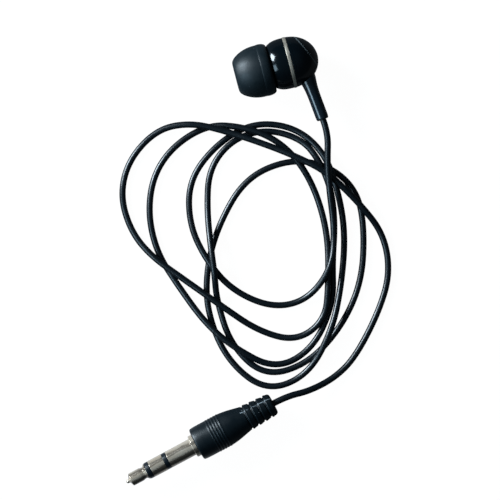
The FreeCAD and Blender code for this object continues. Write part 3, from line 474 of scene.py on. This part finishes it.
blackTone = {"colour": (0.0010, 0.0026, 0.0040), "second": (0.0016, 0.0038, 0.0056)}
looks = {
    "tipSilicone": {
        "colour": (0.0022, 0.0066, 0.0094), "second": (0.0034, 0.0092, 0.0130), "rough": (0.42, 0.54),
        "grainScale": 5200.0, "bump": 0.25, "bumpDepth": 0.015,
        "dustColour": (0.10, 0.13, 0.15), "dust": {"Scale": 1100.0, "Size": 0.16, "Share": 0.10},
        "shader": {"Specular IOR Level": 0.36, "Sheen Weight": 0.03, "Sheen Roughness": 0.4}},
    "glossShell": {
        **blackTone, "rough": (0.10, 0.18), "grainScale": 2600.0, "bump": 0.05, "bumpDepth": 0.004,
        "dustColour": (0.05, 0.06, 0.07), "dust": {"Scale": 1300.0, "Size": 0.10, "Share": 0.05},
        # pale colour of the painted highlight line along the seam
        "seamHighlightColour": (0.15, 0.175, 0.185),
        "shader": {"Specular IOR Level": 0.42}},
    "trimMetal": {
        "colour": (0.12, 0.10, 0.08), "second": (0.62, 0.54, 0.44), "rough": (0.24, 0.42),
        "grainScale": 2200.0, "patchScale": 620.0, "bump": 0.08, "bumpDepth": 0.006,
        "wearColour": (0.8, 0.78, 0.74), "wear": {"Start": 0.56, "End": 0.7},
        "shader": {"Metallic": 0.45}},
    "reliefPlastic": {
        "colour": (0.0014, 0.0050, 0.0095), "second": (0.0020, 0.0068, 0.0125), "rough": (0.16, 0.26),
        "grainScale": 2500.0, "bump": 0.06, "bumpDepth": 0.006,
        "shader": {"Specular IOR Level": 0.85}},
    "cordJacket": {
        "colour": (0.0016, 0.0036, 0.0056), "second": (0.0024, 0.0050, 0.0076), "rough": (0.27, 0.38),
        "grainScale": 2400.0, "bump": 0.12, "bumpDepth": 0.012,
        "dustColour": (0.05, 0.06, 0.07), "dust": {"Scale": 1200.0, "Size": 0.1, "Share": 0.04},
        "shader": {"Specular IOR Level": 0.5}},
    "plugNickel": {
        "colour": (0.46, 0.37, 0.29), "second": (0.68, 0.58, 0.48), "rough": (0.16, 0.24),
        "grainScale": 2000.0, "stretch": 0.06, "patchScale": 900.0,
        "streakColour": (0.52, 0.41, 0.31), "streakScale": 1300.0, "bump": 0.03,
        "bumpDepth": 0.005, "turn": plugTurn, "shift": tuple(plugEnd),
        # dark brown of the painted reflection bands along the pin
        "reflectionBandColour": (0.03, 0.017, 0.01), "shader": {"Metallic": 0.5}},
    "plugBand": {
        "colour": (0.0014, 0.0040, 0.0070), "second": (0.0022, 0.0056, 0.0095), "rough": (0.25, 0.4),
        "grainScale": 4000.0, "bump": 0.15, "bumpDepth": 0.01, "shader": {}},
    "plugMould": {
        "colour": (0.0009, 0.0036, 0.0056), "second": (0.0014, 0.0048, 0.0074), "rough": (0.33, 0.45),
        "grainScale": 4200.0, "bump": 0.15, "bumpDepth": 0.008,
        "wearColour": (0.22, 0.25, 0.27), "wear": {"Start": 0.56, "End": 0.66, "Scale": 500.0},
        "shader": {"Specular IOR Level": 0.36}},
    "meshSteel": {
        "colour": (0.42, 0.42, 0.41), "second": (0.55, 0.54, 0.52), "rough": (0.25, 0.4),
        "grainScale": 6000.0, "shader": {"Metallic": 1.0}},
    "softBlack": {
        "colour": (0.02, 0.02, 0.021), "second": (0.035, 0.035, 0.036), "rough": (0.8, 0.95),
        "grainScale": 7000.0, "bump": 0.5, "bumpDepth": 0.03, "shader": {}},
    "driverPlastic": {
        "colour": (0.03, 0.03, 0.032), "second": (0.05, 0.05, 0.052), "rough": (0.35, 0.5),
        "grainScale": 4000.0, "shader": {}},
    "film": {
        "colour": (0.42, 0.33, 0.18), "second": (0.50, 0.41, 0.24), "rough": (0.2, 0.3),
        "grainScale": 3000.0, "shader": {}},
    "plainSteel": {
        "colour": (0.45, 0.45, 0.46), "second": (0.58, 0.58, 0.58), "rough": (0.25, 0.4),
        "grainScale": 3500.0, "stretch": 0.1, "shader": {"Metallic": 1.0}},
    "magnetPlate": {
        "colour": (0.30, 0.30, 0.32), "second": (0.40, 0.40, 0.42), "rough": (0.2, 0.32),
        "grainScale": 3000.0, "shader": {"Metallic": 1.0}},
    "felt": {
        "colour": (0.55, 0.53, 0.46), "second": (0.70, 0.68, 0.60), "rough": (0.85, 0.95),
        "grainScale": 9000.0, "bump": 0.6, "bumpDepth": 0.03, "shader": {}},
    "boardGreen": {
        "colour": (0.012, 0.085, 0.035), "second": (0.02, 0.12, 0.05), "rough": (0.3, 0.4),
        "grainScale": 5000.0, "stretch": 0.2, "shader": {}},
    "copperWire": {
        "colour": (0.62, 0.26, 0.13), "second": (0.72, 0.34, 0.19), "rough": (0.2, 0.32),
        "grainScale": 4000.0, "stretch": 0.2, "shader": {"Metallic": 1.0}},
    "solder": {
        "colour": (0.55, 0.55, 0.56), "second": (0.68, 0.68, 0.69), "rough": (0.22, 0.4),
        "grainScale": 4500.0, "shader": {"Metallic": 1.0}},
}
finish = {name: makeMaterial(name, look) for name, look in looks.items()}
print("materials made:", len(finish))

looseCord.data.materials.append(finish["cordJacket"])
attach(looseCord, "earbud")
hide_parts("cord")

# ear tip: a soft dome folded back over its own stem
tipSize = {"rim": -3.5, "step": -5.5, "proud": 0.03, "mouth": -10.85, "aside": 0.17}
tipStations = [
    (-10.42, 1.93), (-10.68, 1.97), (tipSize["mouth"] + 0.02, 2.2), (tipSize["mouth"], 2.7),
    (-10.76, 3.12), (-10.52, 3.5), (-10.1, 3.9), (-9.5, 4.3), (-8.7, 4.7), (-7.7, 5.03),
    (-6.7, 5.18), (-5.95, 5.215), (tipSize["step"] - 0.07, 5.2), (tipSize["step"], 5.21),
    (tipSize["step"] + 0.06, 5.21 + tipSize["proud"]), (-5.3, 5.265), (-4.85, 5.26), (-4.35, 5.2),
    (-3.95, 5.07), (-3.64, 4.86), (tipSize["rim"], 4.62), (-3.57, 4.46), (-3.9, 4.44), (-4.8, 4.58),
    (-5.8, 4.66), (-7.0, 4.55), (-8.0, 4.2), (-8.7, 3.8), (-9.0, 3.45), (-8.9, 3.24), (-8.5, 3.2),
    (-6.0, 3.2), (-4.25, 3.2), (-4.03, 3.14), (-3.98, 2.9), (-4.08, 2.73), (-4.4, 2.7),
    (-7.5, 2.7), (-8.3, 2.7), (-8.46, 2.6), (-8.48, 2.2), (-8.62, 1.96), (-9.2, 1.9),
]
earTip = turnPiece("earTip", earphoneLine, tipStations, closed=True)
# the whole tip sits a little to one side, so on that side its bore cuts slightly into the barb
pickNothing()
earTip.select_set(True)
bpy.context.view_layer.objects.active = earTip
bpy.ops.object.mode_set(mode="EDIT")
bpy.ops.mesh.select_all(action="SELECT")
bpy.ops.transform.translate(value=(0, -tipSize["aside"] * mm, 0))
bpy.ops.object.mode_set(mode="OBJECT")
smooth(earTip, 60)
finishPiece(earTip, finish["tipSilicone"], "ear_tip", "tip_silicone", "ear_tip")

# front housing with its barbed nozzle
frontStations = [
    (-8.2, 1.92, 0.03), (-8.2, 2.2, 0.06), (-7.8, 2.6, 0.06), (-7.1, 2.6, 0.06), (-6.7, 2.2, 0.05),
    (-3.7, 2.2, 0.1), (-3.7, 3.92, 0.08), (-3.5, 4.26, 0.05), (-3.2, 4.49), (-2.8, 4.72),
    (-2.3, 4.91), (-1.7, 5.045), (-1.0, 5.11), (-0.4, 5.12), (-0.02, 5.12, 0.05), (-0.02, 4.52),
    (-0.8, 4.52, 0.03), (-0.8, 4.1, 0.03), (-2.5, 4.1, 0.03), (-2.5, 3.3, 0.03),
    (-3.4, 1.5, 0.1), (-7.9, 1.5, 0.03), (-7.9, 1.92, 0.03),
]
frontHousing = turnPiece("frontHousing", earphoneLine, frontStations, closed=True)
smooth(frontHousing)
finishPiece(frontHousing, finish["glossShell"], "earbud", "gloss_shell", "front_housing")

# plated ring between the shells
ringStations = [
    (0.0, 4.52, 0.03), (0.0, 5.16, 0.05), (0.18, 5.195), (0.47, 5.195), (0.65, 5.16, 0.05),
    (0.65, 4.52, 0.03),
]
trimRing = turnPiece("trimRing", earphoneLine, ringStations, sides=64, closed=True)
smooth(trimRing)
finishPiece(trimRing, finish["trimMetal"], "earbud", "trim_metal", "trim_ring")

# rear shell: one dome, parted by the slanted seam into housing and cap


def rearSkin(name):
    stations = [(-0.8, 4.52), (0.6, 4.52), (0.67, 4.56, 0.02), (0.67, 5.08, 0.03)]
    stations += [(0.8, 5.11), (1.05, 5.087), (rearSize["groove"] - 0.1, 5.055)]
    stations += [(rearSize["groove"], 5.0), (rearSize["groove"] + 0.1, 5.028)]
    for turn in (19, 25, 31, 37, 43, 49, 55, 61, 67, 73, 79, 85):
        sine, cosine = math.sin(math.radians(turn)), math.cos(math.radians(turn))
        stations.append((rearSize["centre"] + rearSize["reach"] * sine, rearSize["radius"] * cosine))
    stations.append((rearSize["centre"] + rearSize["reach"], 0))
    return turnPiece(name, earphoneLine, stations, sides=64)


def cutAtSeam(piece, shift, keepFront):
    # cuts the dome along the slanted plane, keeps one side and gives it a wall
    tilt = math.radians(rearSize["tilt"])
    across = Vector((math.cos(tilt), math.sin(tilt), 0))
    pickNothing()
    bpy.context.view_layer.objects.active = piece
    bpy.ops.object.mode_set(mode="EDIT")
    bpy.ops.mesh.select_all(action="SELECT")
    bpy.ops.mesh.bisect(plane_co=spot(earphoneLine, rearSize["seam"] + shift), plane_no=across,
                        clear_outer=keepFront, clear_inner=not keepFront)
    bpy.ops.object.mode_set(mode="OBJECT")
    useModifier(piece, "SOLIDIFY", thickness=rearSize["wall"] * mm, offset=-1, use_even_offset=True)
    useModifier(piece, "BEVEL", width=rearSize["edge"] * mm, segments=rearSize["edgeSteps"],
                limit_method="ANGLE", angle_limit=math.radians(rearSize["edgeAngle"]))
    smooth(piece)


rearHousing = rearSkin("rearHousing")
cutAtSeam(rearHousing, 0, True)
finishPiece(rearHousing, finish["glossShell"], "earbud", "gloss_shell", "rear_housing")
rearCap = rearSkin("rearCap")
cutAtSeam(rearCap, rearSize["gap"], False)
finishPiece(rearCap, finish["glossShell"], "earbud", "gloss_shell", "rear_cap")

# strain relief, the stem that the cord leaves
stemStations = [
    (3.3, 0.72), (3.3, 1.7, 0.1), (4.1, 1.68), (4.7, 1.57), (5.3, 1.47), (6.2, 1.35), (7.4, 1.28),
    (9.0, 1.26), (11.0, 1.265), (12.0, 1.265), (12.5, 1.24), (12.72, 1.16), (12.8, 1.02),
    (12.76, 0.86), (12.5, 0.78), (12.0, 0.72),
]
stemRelief = turnPiece("stemRelief", stemLine, stemStations, sides=40, closed=True)
smooth(stemRelief, 60)
finishPiece(stemRelief, finish["reliefPlastic"], "earbud", "relief_plastic", "strain_relief")

# the pin of the plug: three contacts and two bands, each a tube inside the next
pinStations = {
    "pinTip": [
        (0.0, 0), (0.03, 0.18), (0.12, 0.31), (0.28, 0.395), (0.45, 0.4), (0.58, 0.39),
        (0.66, 0.43, 0.03), (0.8, 0.62), (1.0, 1.18, 0.06), (1.12, 1.34, 0.06), (3.3, 1.34, 0.1),
        (4.1, 1.13, 0.15), (4.52, 1.6, 0.04), (4.64, 1.65, 0.03), (4.64, 0.55, 0.03),
        (16.0, 0.55, 0.03), (16.0, 0)],
    "frontBand": [
        (4.66, 0.56, 0.02), (4.66, 1.58, 0.04), (4.85, 1.725, 0.04), (5.63, 1.725, 0.04),
        (5.63, 0.56, 0.02)],
    "pinRing": [
        (5.66, 0.9, 0.02), (5.66, 1.75, 0.05), (8.69, 1.75, 0.05), (8.69, 0.9, 0.02)],
    "rearBand": [
        (8.71, 0.9, 0.02), (8.71, 1.73, 0.04), (9.59, 1.73, 0.04), (9.59, 0.9, 0.02)],
    "pinSleeve": [
        (9.61, 1.4, 0.02), (9.61, 1.75, 0.05), (15.02, 1.75, 0.04), (15.05, 2.17, 0.05),
        (15.16, 2.3, 0.05), (15.86, 2.3, 0.05), (15.95, 2.22, 0.05), (15.95, 1.4, 0.02)],
}
pinParts = {
    "pinTip": ("plugNickel", "plug_nickel", "plug_tip"),
    "frontBand": ("plugBand", "plug_band", "tip_insulator"),
    "pinRing": ("plugNickel", "plug_nickel", "plug_ring"),
    "rearBand": ("plugBand", "plug_band", "ring_insulator"),
    "pinSleeve": ("plugNickel", "plug_nickel", "plug_sleeve"),
}
for name, (look, slot, node) in pinParts.items():
    piece = turnPiece(name, plugLine, pinStations[name], closed=name != "pinTip")
    smooth(piece)
    finishPiece(piece, finish[look], "earbud", slot, node)

# moulded body of the plug, with grip ridges and a ribbed strain relief
mouldSize = {"gripAt": 19.65, "gripPitch": 0.6, "gripWidth": 0.18, "gripHeight": 0.09, "grips": 5,
             "gripSlope": 0.03, "ribPitch": 1.5, "ribs": 4, "ribRadius": 2.62, "ribTaper": 0.09,
             "ribDepth": 0.3, "radius": 3.45}
mouldStations = [
    (16.3, 2.1, 0.05), (16.0, 2.1, 0.05), (15.97, 3.1, 0.05), (16.04, 3.28), (16.2, 3.38),
    (16.8, 3.44), (18.0, 3.46), (19.2, 3.46),
]
for index in range(mouldSize["grips"]):
    at = mouldSize["gripAt"] + index * mouldSize["gripPitch"]
    top = mouldSize["radius"] + mouldSize["gripHeight"]
    back, slope = at + mouldSize["gripWidth"], mouldSize["gripSlope"]
    mouldStations += [(at - slope, mouldSize["radius"]), (at + slope, top), (back - slope, top),
                      (back + slope, mouldSize["radius"])]
mouldStations += [(23.0, 3.4), (24.0, 3.26), (25.0, 3.07), (26.0, 2.84), (26.9, 2.64),
                  (27.25, 2.56, 0.04)]
for index in range(mouldSize["ribs"]):
    at = plugSize["bodyBack"] + index * mouldSize["ribPitch"]
    radius = mouldSize["ribRadius"] - index * mouldSize["ribTaper"]
    mouldStations += [
        (at + 0.05, radius - mouldSize["ribDepth"]), (at + 0.22, radius - mouldSize["ribDepth"]),
        (at + 0.30, radius - 0.02, 0.03), (at + 0.42, radius + 0.07), (at + 0.58, radius + 0.05),
        (at + 0.76, radius - 0.01), (at + 1.1, radius - 0.07)]
    if index < mouldSize["ribs"] - 1:
        mouldStations.append((at + 1.42, radius - 0.15, 0.03))
mouldStations += [(33.15, 2.22), (33.4, 2.02), (33.5, 1.7), (33.48, 1.1), (33.38, 0.84),
                  (33.1, 0.74), (25.2, 0.72), (24.85, 2.63), (16.32, 2.63)]
plugMould = turnPiece("plugMould", plugLine, mouldStations, sides=56, closed=True)
smooth(plugMould)
finishPiece(plugMould, finish["plugMould"], "earbud", "plug_mould", "plug_body")

# finishes of the inner parts that keep their own shape
innerLooks = {
    "nozzle_mesh": "meshSteel", "driver_gasket": "softBlack", "driver_cover": "meshSteel",
    "diaphragm_ring": "driverPlastic", "diaphragm_surround": "film", "driver_frame": "driverPlastic",
    "driver_yoke": "plainSteel", "driver_magnet": "magnetPlate", "pole_plate": "plainSteel",
    "vent_damper": "felt", "terminal_board": "boardGreen", "voice_coil": "copperWire",
    "diaphragm": "film", "solder_joints": "solder", "cord_tail": "cordJacket",
    "cord_knot": "cordJacket", "plug_core": "driverPlastic", "plug_cord_end": "cordJacket",
    "plug_tags": "plainSteel", "plug_solder": "solder", "lead_wires": "copperWire",
    "plug_wires": "copperWire",
}
for node, look in innerLooks.items():
    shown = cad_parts[node]
    shown.data.materials.clear()
    shown.data.materials.append(finish[look])
print("inner parts finished:", len(innerLooks))

# table and light
# byPin is the painted glow of the table beside the pin, seen only in reflections
tableSize = {"side": 8.0, "shown": 0.98, "shade": 0.05, "reflected": 0.03, "byPin": 0.6,
             "tint": (0.82, 0.9, 1.0),
             "pinAt": (-0.0425, -0.0713, 0.0), "pinReach": 0.020}
bpy.ops.mesh.primitive_plane_add(size=tableSize["side"], location=(0, 0, 0))
tableTop = bpy.context.object
tableTop.name = "tableTop"
tableMaterial = bpy.data.materials.new("tableWhite")
tableMaterial.use_nodes = True
tableTree = tableMaterial.node_tree
tableTree.nodes.clear()
tableOut = tableTree.nodes.new("ShaderNodeOutputMaterial")
tableRay = addNode(tableTree, "LightPath")
# painted light: a glow on the table, seen only in what the gloss picks up from it, brighter beside
# the bare pin
tablePlace = addNode(tableTree, "TexCoord").outputs["Object"]
pinDistance = addNode(tableTree, "VectorMath", {"operation": "DISTANCE"},
                      {1: tableSize["pinAt"]}, {0: tablePlace})
picked = addNode(tableTree, "MapRange", {"interpolation_type": "SMOOTHSTEP"}, {
    "From Min": 0.3 * tableSize["pinReach"], "From Max": tableSize["pinReach"],
    "To Min": tableSize["byPin"], "To Max": tableSize["reflected"]},
    {"Value": pinDistance.outputs["Value"]})
brightness = addNode(tableTree, "MapRange", values={"To Max": tableSize["shown"]},
                     links={"Value": tableRay.outputs["Is Camera Ray"],
                            "To Min": picked.outputs["Result"]})
tint = addNode(tableTree, "Mix", {"data_type": "RGBA"},
               {"A": (*tableSize["tint"], 1), "B": (1, 1, 1, 1)},
               {"Factor": tableRay.outputs["Is Camera Ray"]})
glow = addNode(tableTree, "Emission", links={"Strength": brightness.outputs["Result"],
                                             "Color": tint.outputs["Result"]})
matt = addNode(tableTree, "BsdfDiffuse", values={"Color": (*[tableSize["shade"]] * 3, 1)})
both = addNode(tableTree, "AddShader", links={0: glow.outputs[0], 1: matt.outputs[0]})
tableTree.links.new(both.outputs[0], tableOut.inputs["Surface"])
tableTop.data.materials.append(tableMaterial)

# angles in degrees, distance and size in metres
lamps = {
    "window": {"round": 138, "up": 25, "away": 0.50, "size": (0.20, 0.24), "power": 5.4,
               "colour": (0.76, 0.90, 1.0)},
    "wall": {"round": 188, "up": 40, "away": 0.56, "size": (0.24, 0.24), "power": 1.3,
             "colour": (0.56, 0.82, 1.0)},
}
target = Vector((-0.014, -0.034, 0.0))
for name, lamp in lamps.items():
    turn, rise = math.radians(lamp["round"]), math.radians(lamp["up"])
    place = target + lamp["away"] * Vector((
        math.cos(turn) * math.cos(rise), math.sin(turn) * math.cos(rise), math.sin(rise)))
    bpy.ops.object.light_add(type="AREA", location=place)
    light = bpy.context.object
    light.name = name
    light.rotation_euler = (target - place).to_track_quat("-Z", "Y").to_euler()
    light.data.shape = "RECTANGLE"
    light.data.size, light.data.size_y = lamp["size"]
    light.data.energy = lamp["power"]
    light.data.color = lamp["colour"]

skyLight = bpy.data.worlds.new("skyLight")
skyLight.use_nodes = True
scene.world = skyLight
skyTree = skyLight.node_tree
skyTree.nodes.clear()
direction = addNode(skyTree, "TexCoord")
parts = addNode(skyTree, "SeparateXYZ", links={"Vector": direction.outputs["Generated"]})
ramp = addNode(skyTree, "ValToRGB", links={"Fac": parts.outputs["Z"]})
ramp.color_ramp.elements[0].position = 0.0
ramp.color_ramp.elements[0].color = (0.022, 0.034, 0.042, 1)
ramp.color_ramp.elements[1].position = 1.0
ramp.color_ramp.elements[1].color = (0.045, 0.066, 0.08, 1)
middle = ramp.color_ramp.elements.new(0.55)
middle.color = (0.018, 0.028, 0.036, 1)
dim = addNode(skyTree, "Background", values={"Strength": 1.0}, links={"Color": ramp.outputs["Color"]})
plain = addNode(skyTree, "Background", values={"Color": (1, 1, 1, 1), "Strength": 1.0})
ray = addNode(skyTree, "LightPath")
choose = addNode(skyTree, "MixShader", links={0: ray.outputs["Is Camera Ray"],
                                              1: dim.outputs[0], 2: plain.outputs[0]})
skyOut = skyTree.nodes.new("ShaderNodeOutputWorld")
skyTree.links.new(choose.outputs[0], skyOut.inputs["Surface"])
scene.view_settings.view_transform = "Standard"
print("table and light ready")
